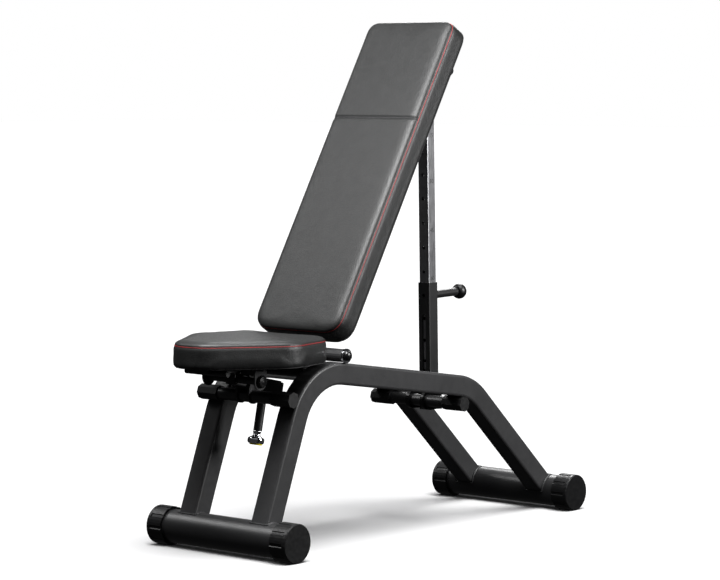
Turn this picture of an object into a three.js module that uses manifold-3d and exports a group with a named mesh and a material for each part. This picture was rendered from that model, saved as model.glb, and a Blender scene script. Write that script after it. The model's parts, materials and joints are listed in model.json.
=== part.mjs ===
// Adjustable weight bench: a bent-tube frame, a reclining backrest held by a telescopic strut
// with a pull pin, and a tilting seat held by a shorter strut of the same kind.
// Millimetres. +X points rearward (seat to head end), +Y to the sitter's right, +Z up.
import * as THREE from "three";
import { mergeVertices } from "three/addons/utils/BufferGeometryUtils.js";
import Module from "manifold-3d";

const wasm = await Module();
wasm.setup();

const DEGREE = Math.PI / 180;
const TOUCH = 0.3; // gap between pieces that are welded, bolted or seated against each other
const FACETS = 20; // around ordinary rods and bores; mating rounds share their number
const FOOT_FACETS = 32;
const BAR_FACETS = 24;

// Feet: a round cross tube with a ribbed cap on each end.
const FOOT_RADIUS = 38;
const FOOT_WALL = 2;
const FOOT_LENGTH = 420; // over the caps
const FOOT_SPACING = 1017.7;
const FOOT_CAP_RADIUS = 44;
const FOOT_CAP_LENGTH = 45;
const FOOT_CAP_END_WALL = 6;
const FOOT_CAP_STANDING_FLAT = 0.5; // depth of the flat that the cap stands on
const FOOT_CAP_GROOVES = 10;
const FOOT_CAP_GROOVE_DEPTH = 1.8;
const FOOT_CAP_GROOVE_ANGLE = 11;
const FOOT_CAP_RIM = 9; // smooth rim next to the end disc

// Side rails: square tube bent from the front foot, along the top, down to the rear foot.
const RAIL_TUBE = 50;
const RAIL_WALL = 2.5;
const RAIL_CORNER = 6; // outside radius of the square tube's long edges
const RAIL_CENTRE_Y = 109;
const FRONT_LEG_LEAN = 20.46; // degrees from upright
const FRONT_LEG_AHEAD = 3; // how far the leg's line passes in front of the foot's axis
const REAR_LEG_LEAN = 48.14;
const REAR_LEG_AHEAD = 1.1;
const TOP_RAIL_HEIGHT = 448.85; // above the front foot; the centreline lies half a tube below it
const TOP_RAIL_FALL = 8.14;
const FRONT_BEND_RADIUS = 135;
const REAR_BEND_RADIUS = 150;

// Cross bars: round tubes that the struts pivot on, with an eight-sided sleeve on each end.
const CROSS_BAR_RADIUS = 14;
const CROSS_BAR_HALF_LENGTH = 139;
const SLEEVE_ACROSS_FLATS = 33;
const SLEEVE_LENGTH = 58;
const SLEEVE_END_WALL = 4;
const FRONT_BAR_HEIGHT = 345;
const REAR_BAR_INTO_BEND = 7; // degrees along the rail's rear bend

// Backrest hinge: barrels on the rails, an axle, and a flange and dome nut on each end.
const HINGE_X = 243;
const HINGE_Z = 430;
const HINGE_BARREL_RADIUS = 15;
const HINGE_BARREL_INNER_Y = 60;
const AXLE_RADIUS = 8;
const AXLE_CLEARANCE = 0.3;
const HINGE_FLANGE_RADIUS = 16.5;
const HINGE_FLANGE_THICKNESS = 4;
const DOME_NUT_RADIUS = 11;
const DOME_NUT_HEIGHT = 10;

// Backrest, in its own frame: X runs up the pad, Z out of its front face, the hinge at zero.
const BACK_ANGLE = 59.4; // from horizontal
const BACK_LOWEST_ANGLE = -5;
const BACK_STEEPEST_ANGLE = 82.5;
const BACK_NOTCH_STEP = 7.5;
const BACK_START = 29;
const BACK_END = 852;
const BACK_HALF_WIDTH = 132.5;
const BACK_REAR_FACE = -8;
const BACK_PIPING = 42.8;
const BACK_FRONT_FACE = 56;
const BACK_FOOT_CORNER = 50;
const BACK_HEAD_CORNER = 36;
const BOARD_THICKNESS = 12;
const BOARD_INSET = 7;
const BOARD_POCKET_GAP = 0.3;
const SPINE_WIDTH = 50;
const SPINE_DEPTH = 16;
const SPINE_WALL = 2;
const SPINE_START = 34;
const SPINE_END = 760;
const SPINE_MITRE = 18;
const HINGE_LUG_THICKNESS = 6;
const HINGE_LUG_RADIUS = 19;
const HINGE_LUG_LENGTH = 110;
const HINGE_TUBE_HALF_LENGTH = 56;

// Head bar: the rod under the head end that the strut carries.
const HEAD_BAR_ALONG = 775;
const HEAD_BAR_BELOW = 52.8;
const HEAD_BAR_RADIUS = 6;
const HEAD_PLATE_Y = 66;
const HEAD_PLATE_THICKNESS = 4;
const HEAD_PLATE_WIDTH = 32;
const HEAD_PLATE_FLANGE = 22;
const HEAD_GRIP_RADIUS = 8.5;
const HEAD_GRIP_INNER_Y = 18;
const HEAD_GRIP_OUTER_Y = 50;
const HEAD_COLLAR_RADIUS = 12;
const HEAD_CAP_RADIUS = 12.5;
const HEAD_CAP_HEIGHT = 9;

// Struts: a box tube that swings on a cross bar, and an inner tube that slides in it.
const STRUT_SLIDING_GAP = 0.5;
const CRADLE_GAP = 0.6; // from the carried bar to the inner tube's cradle
const STRUT_WALL = 2;
const STRUT_CORNER = 3;
const NOTCH_HOLE_RADIUS = 4.5;
const BACK_STRUT_OFFSET = 38; // from the cross bar's axis to the tube's centreline
const BACK_STRUT_HALF_X = 16.5;
const BACK_STRUT_HALF_Y = 17.5;
const BACK_STRUT_BOTTOM = -26;
const BACK_STRUT_TOP = 279;
const BACK_STRUT_PIN_AT = 248;
const BACK_STRUT_SLOT_WIDTH = 10;
const BACK_STRUT_SLOT_BOTTOM = 24;
const BACK_STRUT_SLOT_TOP = 202;
const CLAMP_THICKNESS = 8;
const CLAMP_RADIUS = 21;
const CLAMP_BORE_GAP = 0.3;
const SEAT_STRUT_OFFSET = 30.5;
const SEAT_STRUT_HALF = 15;
const SEAT_STRUT_REAR = -90;
const SEAT_STRUT_FRONT = 18;
const SEAT_STRUT_PIN_AT = -50;
const SEAT_STRUT_EAR_THICKNESS = 6;
const SEAT_STRUT_EAR_RADIUS = 17;

// Pull pins: a long housing on the strut, the pin with its collar and spring, and a knob.
const PIN_RADIUS = 4;
const PIN_TRAVEL = 12;
const PIN_TIP_GAP = 0.4; // from the pin's tip to the inner tube that slides past it
const HOUSING_RADIUS = 10;
const HOUSING_BORE = 6.7;
const HOUSING_LENGTH = 88;
const HOUSING_END_WALL = 6;
const PIN_COLLAR_LENGTH = 5;
const PIN_IN_KNOB = 12; // how far the pin passes the housing's end
const SPRING_COIL_RADIUS = 5.2;
const SPRING_WIRE_RADIUS = 0.7;
const SPRING_TURNS = 8;
const KNOB_RADIUS = 18.5;
const SEAT_KNOB_RADIUS = 19;
const SEAT_KNOB_WAIST_RADIUS = 8;
const SEAT_KNOB_LENGTH = 28;

// Seat: pad, board and bracket, tilting on a pivot rod between the rails.
const SEAT_PIVOT_X = 196;
const SEAT_PIVOT_Z = 392;
const SEAT_STEEPEST_TILT = 15;
const SEAT_NOTCHES = 3;
const SEAT_BOTTOM = 418;
const SEAT_PIPING = 466;
const SEAT_TOP = 479;
const SEAT_NOSE_X = -135;
const SEAT_NOSE_HALF_WIDTH = 45;
const SEAT_NOSE_CORNER = 43;
const SEAT_WIDEST_X = 48;
const SEAT_WIDEST_HALF_WIDTH = 168;
const SEAT_WIDEST_CORNER = 34;
const SEAT_REAR_X = 202;
const SEAT_REAR_HALF_WIDTH = 127.6;
const SEAT_REAR_CORNER = 30;
const SEAT_SPINE_WIDTH = 40;
const SEAT_SPINE_HEIGHT = 12;
const SEAT_SPINE_FRONT = -82;
const SEAT_PIVOT_TUBE_RADIUS = 13.5;
const SEAT_PIVOT_TUBE_HALF_LENGTH = 60;
const SEAT_BAR_X = 22.6;
const SEAT_BAR_Z = 385;
const SEAT_BAR_RADIUS = 8;
const SEAT_PLATE_Y = 76;
const SEAT_PLATE_THICKNESS = 4;
const SEAT_PLATE_WIDTH = 38;
const SEAT_PLATE_FLANGE = 24;
const SEAT_BAR_CAP_RADIUS = 14;
const SEAT_BAR_CAP_LENGTH = 9;
const SEAT_ROD_X = -63.6;
const SEAT_ROD_Z = 406.7;
const SEAT_ROD_RADIUS = 6.5;
const SEAT_ROD_HALF_LENGTH = 63;

// Derived places shared by several pieces.
const FOOT_HEIGHT = FOOT_CAP_RADIUS - FOOT_CAP_STANDING_FLAT;
const RAIL_HALF = RAIL_TUBE / 2;
const RAIL_INNER_Y = RAIL_CENTRE_Y - RAIL_HALF;
const RAIL_OUTER_Y = RAIL_CENTRE_Y + RAIL_HALF;
const PIN_COLLAR_START = 1;
const SPRING_START = PIN_COLLAR_START + PIN_COLLAR_LENGTH + SPRING_WIRE_RADIUS + TOUCH;
const SPRING_END = HOUSING_LENGTH - HOUSING_END_WALL - PIN_TRAVEL - SPRING_WIRE_RADIUS - TOUCH;
const SLEEVE_STANDOFF = RAIL_HALF + SLEEVE_ACROSS_FLATS / 2 + TOUCH;

const powderCoat = new THREE.MeshStandardMaterial({ color: 0x24262a, roughness: 0.5, metalness: 0.6 });
const glossCoat = new THREE.MeshStandardMaterial({ color: 0x17181b, roughness: 0.3, metalness: 0.6 });
const blackPlastic = new THREE.MeshStandardMaterial({ color: 0x101113, roughness: 0.45, metalness: 0 });
const rubber = new THREE.MeshStandardMaterial({ color: 0x151515, roughness: 0.75, metalness: 0 });
const chrome = new THREE.MeshStandardMaterial({ color: 0xc9ccd0, roughness: 0.15, metalness: 1 });
const steel = new THREE.MeshStandardMaterial({ color: 0x9a9da1, roughness: 0.35, metalness: 1 });
const yellowPlastic = new THREE.MeshStandardMaterial({ color: 0xe6d21e, roughness: 0.4, metalness: 0 });
const leatherette = new THREE.MeshStandardMaterial({ color: 0x2b2c2d, roughness: 0.6, metalness: 0 });
const plywood = new THREE.MeshStandardMaterial({ color: 0x8a6a45, roughness: 0.8, metalness: 0 });

// A closed geometry as a solid that can be joined and cut.
function solidOf(geometry) {
  const bare = geometry.index ? geometry.toNonIndexed() : geometry.clone();
  bare.deleteAttribute("normal");
  bare.deleteAttribute("uv");
  const merged = mergeVertices(bare, 1e-4);
  return new wasm.Manifold(
    new wasm.Mesh({
      numProp: 3,
      vertProperties: merged.attributes.position.array,
      triVerts: new Uint32Array(merged.index.array),
    }),
  );
}

function geometryOf(solid) {
  const mesh = solid.getMesh();
  const positions = new Float32Array(mesh.numVert * 3);
  for (let i = 0; i < mesh.numVert; i++) {
    positions.set(mesh.vertProperties.subarray(i * mesh.numProp, i * mesh.numProp + 3), i * 3);
  }
  const geometry = new THREE.BufferGeometry();
  geometry.setAttribute("position", new THREE.BufferAttribute(positions, 3));
  geometry.setIndex(new THREE.BufferAttribute(new Uint32Array(mesh.triVerts), 1));
  const flat = geometry.toNonIndexed();
  flat.computeVertexNormals();
  return flat;
}

function addPart(group, name, solid, material) {
  const mesh = new THREE.Mesh(geometryOf(solid), material);
  mesh.name = name;
  group.add(mesh);
}

const point = (x, y, z) => new THREE.Vector3(x, y, z);

function block(x0, x1, y0, y1, z0, z1) {
  const geometry = new THREE.BoxGeometry(x1 - x0, y1 - y0, z1 - z0);
  return solidOf(geometry.translate((x0 + x1) / 2, (y0 + y1) / 2, (z0 + z1) / 2));
}

// Turns a geometry made along +Y from the origin so that it runs from a towards b.
function alongAxis(geometry, a, b) {
  const direction = b.clone().sub(a).normalize();
  const turn = new THREE.Quaternion().setFromUnitVectors(point(0, 1, 0), direction);
  return geometry.applyQuaternion(turn).translate(a.x, a.y, a.z);
}

function rod(radius, a, b, segments = FACETS) {
  const length = a.distanceTo(b);
  const geometry = new THREE.CylinderGeometry(radius, radius, length, segments);
  return solidOf(alongAxis(geometry.translate(0, length / 2, 0), a, b));
}

// A rod along Y at (x, z), from one side of the middle plane to the other or within one side.
function crossRod(radius, x, z, y0, y1, segments = FACETS) {
  return rod(radius, point(x, Math.min(y0, y1), z), point(x, Math.max(y0, y1), z), segments);
}

// A solid of revolution; the profile lists radius and distance from a towards b.
function turned(profile, a, b, segments = BAR_FACETS) {
  const points = profile.map(([radius, distance]) => new THREE.Vector2(radius, distance));
  return solidOf(alongAxis(new THREE.LatheGeometry(points, segments), a, b));
}

// A plate whose outline is drawn in the XZ plane and which runs from y0 to y1.
function plate(outline, y0, y1) {
  const low = Math.min(y0, y1);
  const high = Math.max(y0, y1);
  const shape = new THREE.Shape(outline.map(([x, z]) => new THREE.Vector2(x, z)));
  const geometry = new THREE.ExtrudeGeometry(shape, { depth: high - low, bevelEnabled: false });
  return solidOf(geometry.rotateX(Math.PI / 2).translate(0, high, 0));
}

// A plate whose two outlines are rounded over, as the long edges of a square tube are.
function roundedPlate(outline, y0, y1, corner) {
  const low = Math.min(y0, y1);
  const high = Math.max(y0, y1);
  const shape = new THREE.Shape(outline.map(([x, z]) => new THREE.Vector2(x, z)));
  const geometry = new THREE.ExtrudeGeometry(shape, {
    depth: high - low - 2 * corner,
    bevelEnabled: true,
    bevelThickness: corner,
    bevelSize: corner,
    bevelOffset: -corner,
    bevelSegments: 3,
  });
  return solidOf(geometry.rotateX(Math.PI / 2).translate(0, high - corner, 0));
}

// A square bar along Z with rounded long edges.
function squareBar(x, halfX, halfY, z0, z1, corner) {
  const shape = new THREE.Shape();
  const quarter = Math.PI / 2;
  shape.absarc(x + halfX - corner, halfY - corner, corner, 0, quarter);
  shape.absarc(x - halfX + corner, halfY - corner, corner, quarter, 2 * quarter);
  shape.absarc(x - halfX + corner, corner - halfY, corner, 2 * quarter, 3 * quarter);
  shape.absarc(x + halfX - corner, corner - halfY, corner, 3 * quarter, 4 * quarter);
  const settings = { depth: z1 - z0, bevelEnabled: false, curveSegments: 1 };
  const geometry = new THREE.ExtrudeGeometry(shape, settings);
  return solidOf(geometry.translate(0, 0, z0));
}

function boxTube(x, halfX, halfY, z0, z1) {
  const outside = squareBar(x, halfX, halfY, z0, z1, STRUT_CORNER);
  const innerCorner = STRUT_CORNER - STRUT_WALL;
  return outside.subtract(
    squareBar(x, halfX - STRUT_WALL, halfY - STRUT_WALL, z0 - 1, z1 + 1, innerCorner),
  );
}

// Points of a polygon with its corners rounded by quadratic curves of the given reach.
function roundedOutline(corners, steps = 6) {
  const shape = new THREE.Shape();
  corners.forEach(([x, y, reach], i) => {
    const corner = new THREE.Vector2(x, y);
    const [bx, by] = corners[(i + corners.length - 1) % corners.length];
    const [ax, ay] = corners[(i + 1) % corners.length];
    const before = new THREE.Vector2(bx, by).sub(corner).setLength(reach).add(corner);
    const after = new THREE.Vector2(ax, ay).sub(corner).setLength(reach).add(corner);
    if (i === 0) {
      shape.moveTo(before.x, before.y);
    } else {
      shape.lineTo(before.x, before.y);
    }
    shape.quadraticCurveTo(corner.x, corner.y, after.x, after.y);
  });
  shape.closePath();
  const points = shape.getPoints(steps);
  const last = points[points.length - 1];
  if (last.distanceTo(points[0]) < 1e-6) {
    points.pop();
  }
  return points;
}

// The outline moved inwards along its normals; it runs anticlockwise.
function insetOutline(points, inset) {
  return points.map((p, i) => {
    const before = points[(i + points.length - 1) % points.length];
    const after = points[(i + 1) % points.length];
    const along = after.clone().sub(before).normalize();
    return new THREE.Vector2(p.x - along.y * inset, p.y + along.x * inset);
  });
}

// A solid through stacked outlines, each given as a height and an inset.
function stackedSolid(outline, levels) {
  const rings = levels.map(([height, inset]) =>
    insetOutline(outline, inset).map((p) => [p.x, p.y, height]),
  );
  const count = outline.length;
  const positions = rings.flat(2);
  const faces = [];
  for (let ring = 0; ring + 1 < rings.length; ring++) {
    for (let i = 0; i < count; i++) {
      const a = ring * count + i;
      const b = ring * count + ((i + 1) % count);
      faces.push(a, b, b + count, a, b + count, a + count);
    }
  }
  const lastRing = (rings.length - 1) * count;
  for (const [i, j, k] of THREE.ShapeUtils.triangulateShape(outline, [])) {
    faces.push(i, k, j);
    faces.push(lastRing + i, lastRing + j, lastRing + k);
  }
  const geometry = new THREE.BufferGeometry();
  geometry.setAttribute("position", new THREE.Float32BufferAttribute(positions, 3));
  geometry.setIndex(faces);
  return solidOf(geometry);
}

// Where the line through p meets the line through q, both in the XZ plane.
function crossing(p, alongP, q, alongQ) {
  const cross = alongP.x * alongQ.y - alongP.y * alongQ.x;
  const gap = q.clone().sub(p);
  const distance = (gap.x * alongQ.y - gap.y * alongQ.x) / cross;
  return p.clone().addScaledVector(alongP, distance);
}

const frontFoot = new THREE.Vector2(0, FOOT_HEIGHT);
const rearFoot = new THREE.Vector2(FOOT_SPACING, FOOT_HEIGHT);
const leanVector = (degrees) => new THREE.Vector2(Math.sin(degrees * DEGREE), Math.cos(degrees * DEGREE));
const frontLegWay = leanVector(FRONT_LEG_LEAN);
const rearLegWay = leanVector(-REAR_LEG_LEAN);
const topRailWay = new THREE.Vector2(Math.cos(TOP_RAIL_FALL * DEGREE), -Math.sin(TOP_RAIL_FALL * DEGREE));
const frontLegStart = new THREE.Vector2(frontFoot.x - FRONT_LEG_AHEAD, FOOT_HEIGHT);
const rearLegStart = new THREE.Vector2(rearFoot.x - REAR_LEG_AHEAD, FOOT_HEIGHT);
const topRailStart = new THREE.Vector2(0, TOP_RAIL_HEIGHT - RAIL_HALF);
const railRoute = [
  frontLegStart,
  crossing(frontLegStart, frontLegWay, topRailStart, topRailWay),
  crossing(topRailStart, topRailWay, rearLegStart, rearLegWay),
  rearLegStart,
];

const leftOf = (way) => new THREE.Vector2(-way.y, way.x);
const railWays = railRoute.slice(1).map((p, i) => p.clone().sub(railRoute[i]).normalize());
const railBends = [FRONT_BEND_RADIUS, REAR_BEND_RADIUS].map((radius, i) => {
  const turn = Math.acos(railWays[i].dot(railWays[i + 1]));
  const firstSpoke = leftOf(railWays[i]);
  const start = railRoute[i + 1].clone().addScaledVector(railWays[i], -radius * Math.tan(turn / 2));
  return { radius, turn, firstSpoke, centre: start.addScaledVector(firstSpoke, -radius) };
});

// Unit vector from a bend's centre to the rail, at an angle into the bend.
function bendSpoke(bend, angle) {
  return bend.firstSpoke.clone().rotateAround(new THREE.Vector2(), -angle);
}

// One side of the rail's outline: the route with its bends, moved sideways by an offset.
function railSide(offset, steps) {
  const side = [railRoute[0].clone().addScaledVector(leftOf(railWays[0]), offset)];
  for (const bend of railBends) {
    for (let step = 0; step <= steps; step++) {
      const spoke = bendSpoke(bend, (bend.turn * step) / steps);
      side.push(bend.centre.clone().addScaledVector(spoke, bend.radius + offset));
    }
  }
  side.push(railRoute[3].clone().addScaledVector(leftOf(railWays[2]), offset));
  return side.map((p) => [p.x, p.y]);
}

function railOutline(halfWidth, steps) {
  return [...railSide(halfWidth, steps), ...railSide(-halfWidth, steps).reverse()];
}

const frontBarOnLeg = frontLegStart
  .clone()
  .addScaledVector(frontLegWay, (FRONT_BAR_HEIGHT - FOOT_HEIGHT) / frontLegWay.y);
const frontBar = frontBarOnLeg.clone();
frontBar.x -= SLEEVE_STANDOFF / Math.cos(FRONT_LEG_LEAN * DEGREE);
const rearBarSpoke = bendSpoke(railBends[1], REAR_BAR_INTO_BEND * DEGREE);
const rearBarReach = REAR_BEND_RADIUS - SLEEVE_STANDOFF;
const rearBar = railBends[1].centre.clone().addScaledVector(rearBarSpoke, rearBarReach);

// Where a strut on a cross bar points, and how far along it the carried bar lies.
function strutPose(pivot, carried, offset) {
  const gap = carried.clone().sub(pivot);
  const reach = Math.sqrt(gap.lengthSq() - offset ** 2);
  return { turn: Math.atan2(gap.x, gap.y) - Math.atan2(offset, reach), reach };
}

function headBarAt(angle) {
  const along = new THREE.Vector2(Math.cos(angle * DEGREE), Math.sin(angle * DEGREE));
  const below = new THREE.Vector2(along.y, -along.x);
  return new THREE.Vector2(HINGE_X, HINGE_Z)
    .addScaledVector(along, HEAD_BAR_ALONG)
    .addScaledVector(below, HEAD_BAR_BELOW);
}

function seatBarAt(tilt) {
  const pivot = new THREE.Vector2(SEAT_PIVOT_X, SEAT_PIVOT_Z);
  return new THREE.Vector2(SEAT_BAR_X, SEAT_BAR_Z).rotateAround(pivot, -tilt * DEGREE);
}

// Where the carried bar lies in the inner tube's frame while the strut swings and slides evenly.
function barPathInCradle(pivot, carriedAt, restAngle, limitAngle, offset, steps) {
  const rest = strutPose(pivot, carriedAt(restAngle), offset);
  const limit = strutPose(pivot, carriedAt(limitAngle), offset);
  const path = [];
  for (let step = 0; step <= steps; step++) {
    const share = step / steps;
    const turn = rest.turn + (limit.turn - rest.turn) * share;
    const slide = (limit.reach - rest.reach) * share;
    const gap = carriedAt(restAngle + (limitAngle - restAngle) * share).sub(pivot);
    path.push([
      gap.x * Math.cos(turn) - gap.y * Math.sin(turn),
      gap.x * Math.sin(turn) + gap.y * Math.cos(turn) - slide,
    ]);
  }
  return path;
}

const backReachAt = (angle) => strutPose(rearBar, headBarAt(angle), BACK_STRUT_OFFSET).reach;
const seatReachAt = (tilt) => strutPose(frontBar, seatBarAt(tilt), SEAT_STRUT_OFFSET).reach;

const bench = new THREE.Group();
const frame = new THREE.Group();
bench.add(frame);

// ---- Feet ----

const footTubeHalf = FOOT_LENGTH / 2 - FOOT_CAP_END_WALL - TOUCH;

function footTube(foot) {
  const outside = crossRod(FOOT_RADIUS, foot.x, foot.y, -footTubeHalf, footTubeHalf, FOOT_FACETS);
  const hollow = crossRod(FOOT_RADIUS - FOOT_WALL, foot.x, foot.y, -FOOT_LENGTH, FOOT_LENGTH, FOOT_FACETS);
  return outside.subtract(hollow);
}

// Skirt outline: lands between shallow grooves.
function ribbedOutline(foot) {
  const outline = [];
  const pitch = 360 / FOOT_CAP_GROOVES;
  const grooveRadius = FOOT_CAP_RADIUS - FOOT_CAP_GROOVE_DEPTH;
  const landAngle = pitch - FOOT_CAP_GROOVE_ANGLE;
  const landSteps = 3;
  for (let groove = 0; groove < FOOT_CAP_GROOVES; groove++) {
    const start = -90 - landAngle / 2 + groove * pitch;
    for (let step = 0; step <= landSteps; step++) {
      outline.push([FOOT_CAP_RADIUS, start + (landAngle * step) / landSteps]);
    }
    outline.push([grooveRadius, start + landAngle + 2]);
    outline.push([grooveRadius, start + pitch - 2]);
  }
  return outline.map(([radius, angle]) => [
    foot.x + radius * Math.cos(angle * DEGREE),
    foot.y + radius * Math.sin(angle * DEGREE),
  ]);
}

function footCap(foot, side) {
  const end = (side * FOOT_LENGTH) / 2;
  const rimStart = end - side * FOOT_CAP_RIM;
  const skirtStart = end - side * FOOT_CAP_LENGTH;
  const skirt = plate(ribbedOutline(foot), skirtStart, rimStart + side);
  const rim = turned(
    [
      [0, 0],
      [FOOT_CAP_RADIUS, 0],
      [FOOT_CAP_RADIUS, FOOT_CAP_RIM - 2],
      [FOOT_CAP_RADIUS - 2, FOOT_CAP_RIM],
      [0, FOOT_CAP_RIM],
    ],
    point(foot.x, rimStart, foot.y),
    point(foot.x, end, foot.y),
    FOOT_FACETS,
  );
  const bore = crossRod(
    FOOT_RADIUS + TOUCH, foot.x, foot.y, skirtStart - side, end - side * FOOT_CAP_END_WALL, FOOT_FACETS,
  );
  const reach = FOOT_CAP_RADIUS + 10;
  const floorCut = block(foot.x - reach, foot.x + reach, -FOOT_LENGTH, FOOT_LENGTH, -20, 0);
  return skirt.add(rim).subtract(bore).subtract(floorCut);
}

for (const [place, foot] of [["front", frontFoot], ["rear", rearFoot]]) {
  addPart(frame, `${place}_foot_tube`, footTube(foot), glossCoat);
  for (const [hand, side] of [["left", -1], ["right", 1]]) {
    addPart(frame, `${place}_foot_cap_${hand}`, footCap(foot, side), blackPlastic);
  }
}

// ---- Rails ----

function rail(side) {
  const inner = side * RAIL_INNER_Y;
  const outer = side * RAIL_OUTER_Y;
  const bendSteps = 10;
  const outside = roundedPlate(railOutline(RAIL_HALF, bendSteps), inner, outer, RAIL_CORNER);
  const hollow = plate(
    railOutline(RAIL_HALF - RAIL_WALL, bendSteps), inner + side * RAIL_WALL, outer - side * RAIL_WALL,
  );
  let tube = outside.subtract(hollow);
  for (const foot of [frontFoot, rearFoot]) {
    const coping = crossRod(FOOT_RADIUS + TOUCH, foot.x, foot.y, inner - side, outer + side, FOOT_FACETS);
    tube = tube.subtract(coping);
  }
  const barrelSeat = crossRod(HINGE_BARREL_RADIUS + TOUCH, HINGE_X, HINGE_Z, inner - side, outer + side);
  return tube.subtract(barrelSeat);
}

addPart(frame, "left_rail", rail(-1), powderCoat);
addPart(frame, "right_rail", rail(1), powderCoat);

// ---- Cross bars and their sleeves ----

function crossBar(bar) {
  const half = CROSS_BAR_HALF_LENGTH - SLEEVE_END_WALL - TOUCH;
  const outside = crossRod(CROSS_BAR_RADIUS, bar.x, bar.y, -half, half, BAR_FACETS);
  const hollow = crossRod(CROSS_BAR_RADIUS - 2, bar.x, bar.y, -half - 1, half + 1, BAR_FACETS);
  return outside.subtract(hollow);
}

// Eight-sided sleeve with one flat turned towards the rail it lies against.
function barSleeve(bar, side, flatWay) {
  const cornerRadius = SLEEVE_ACROSS_FLATS / 2 / Math.cos(Math.PI / 8);
  const facing = Math.atan2(flatWay.y, flatWay.x);
  const outline = [];
  for (let corner = 0; corner < 8; corner++) {
    const angle = facing + ((corner + 0.5) * Math.PI) / 4;
    outline.push([bar.x + cornerRadius * Math.cos(angle), bar.y + cornerRadius * Math.sin(angle)]);
  }
  const end = side * CROSS_BAR_HALF_LENGTH;
  const start = end - side * SLEEVE_LENGTH;
  const bore = crossRod(
    CROSS_BAR_RADIUS + TOUCH, bar.x, bar.y, start - side, end - side * SLEEVE_END_WALL, BAR_FACETS,
  );
  return plate(outline, start, end).subtract(bore);
}

const towardsFrontLeg = new THREE.Vector2(frontLegWay.y, -frontLegWay.x);
for (const [place, bar, flatWay] of [["front", frontBar, towardsFrontLeg], ["rear", rearBar, rearBarSpoke]]) {
  addPart(frame, `${place}_cross_bar`, crossBar(bar), glossCoat);
  for (const [hand, side] of [["left", -1], ["right", 1]]) {
    addPart(frame, `${place}_bar_sleeve_${hand}`, barSleeve(bar, side, flatWay), rubber);
  }
}

// ---- Backrest hinge on the frame ----

const axleBore = AXLE_RADIUS + AXLE_CLEARANCE;
const flangeOuter = RAIL_OUTER_Y + TOUCH + HINGE_FLANGE_THICKNESS;
const axleEnd = flangeOuter + TOUCH + 4;

function hingeBarrel(side) {
  const outside = crossRod(
    HINGE_BARREL_RADIUS, HINGE_X, HINGE_Z, side * HINGE_BARREL_INNER_Y, side * RAIL_OUTER_Y,
  );
  return outside.subtract(crossRod(axleBore, HINGE_X, HINGE_Z, 0, side * FOOT_LENGTH));
}

function hingeFlange(side) {
  const inner = side * (RAIL_OUTER_Y + TOUCH);
  const ring = crossRod(HINGE_FLANGE_RADIUS, HINGE_X, HINGE_Z, inner, side * flangeOuter, BAR_FACETS);
  return ring.subtract(crossRod(axleBore, HINGE_X, HINGE_Z, 0, side * FOOT_LENGTH));
}

function domeNut(side) {
  const start = side * (flangeOuter + TOUCH);
  const profile = [[0, 0], [DOME_NUT_RADIUS, 0], [DOME_NUT_RADIUS, DOME_NUT_HEIGHT * 0.4]];
  for (let step = 1; step <= 4; step++) {
    const angle = (step * Math.PI) / 8;
    profile.push([
      step === 4 ? 0 : DOME_NUT_RADIUS * Math.cos(angle),
      DOME_NUT_HEIGHT * (0.4 + 0.6 * Math.sin(angle)),
    ]);
  }
  const nut = turned(profile, point(HINGE_X, start, HINGE_Z), point(HINGE_X, start + side, HINGE_Z), FACETS);
  return nut.subtract(crossRod(axleBore, HINGE_X, HINGE_Z, 0, side * (axleEnd + TOUCH)));
}

addPart(frame, "hinge_axle", crossRod(AXLE_RADIUS, HINGE_X, HINGE_Z, -axleEnd, axleEnd), steel);
for (const [hand, side] of [["left", -1], ["right", 1]]) {
  addPart(frame, `hinge_barrel_${hand}`, hingeBarrel(side), powderCoat);
  addPart(frame, `hinge_flange_${hand}`, hingeFlange(side), chrome);
  addPart(frame, `hinge_dome_nut_${hand}`, domeNut(side), blackPlastic);
}

const seatPivotEnd = RAIL_INNER_Y - TOUCH;
const seatPivotRod = crossRod(AXLE_RADIUS, SEAT_PIVOT_X, SEAT_PIVOT_Z, -seatPivotEnd, seatPivotEnd);
addPart(frame, "seat_pivot_rod", seatPivotRod, steel);

// ---- Pads ----

// A pad with vertical walls up to its piping and a crowned face, hollowed below for its board.
function upholsteredPad(outline, bottom, piping, top) {
  const crown = top - piping;
  const body = stackedSolid(outline, [
    [bottom, 2],
    [bottom + 4, 0],
    [piping, 0],
    [piping + crown * 0.55, 5],
    [top, 18],
  ]);
  const pocket = stackedSolid(outline, [
    [bottom - 1, BOARD_INSET - BOARD_POCKET_GAP],
    [bottom + BOARD_THICKNESS + BOARD_POCKET_GAP, BOARD_INSET - BOARD_POCKET_GAP],
  ]);
  return body.subtract(pocket);
}

function padBoard(outline, bottom) {
  return stackedSolid(outline, [[bottom, BOARD_INSET], [bottom + BOARD_THICKNESS, BOARD_INSET]]);
}

// ---- Backrest ----

const backrest = new THREE.Group();
backrest.position.set(HINGE_X, 0, HINGE_Z);
backrest.rotation.y = -BACK_ANGLE * DEGREE;
bench.add(backrest);

const backOutline = roundedOutline([
  [BACK_START, -BACK_HALF_WIDTH, BACK_FOOT_CORNER],
  [BACK_END, -BACK_HALF_WIDTH, BACK_HEAD_CORNER],
  [BACK_END, BACK_HALF_WIDTH, BACK_HEAD_CORNER],
  [BACK_START, BACK_HALF_WIDTH, BACK_FOOT_CORNER],
]);
const backPad = upholsteredPad(backOutline, BACK_REAR_FACE, BACK_PIPING, BACK_FRONT_FACE);
addPart(backrest, "backrest_pad", backPad, leatherette);
addPart(backrest, "backrest_board", padBoard(backOutline, BACK_REAR_FACE), plywood);

const spineTop = BACK_REAR_FACE - TOUCH;
const spineBottom = spineTop - SPINE_DEPTH;

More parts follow.
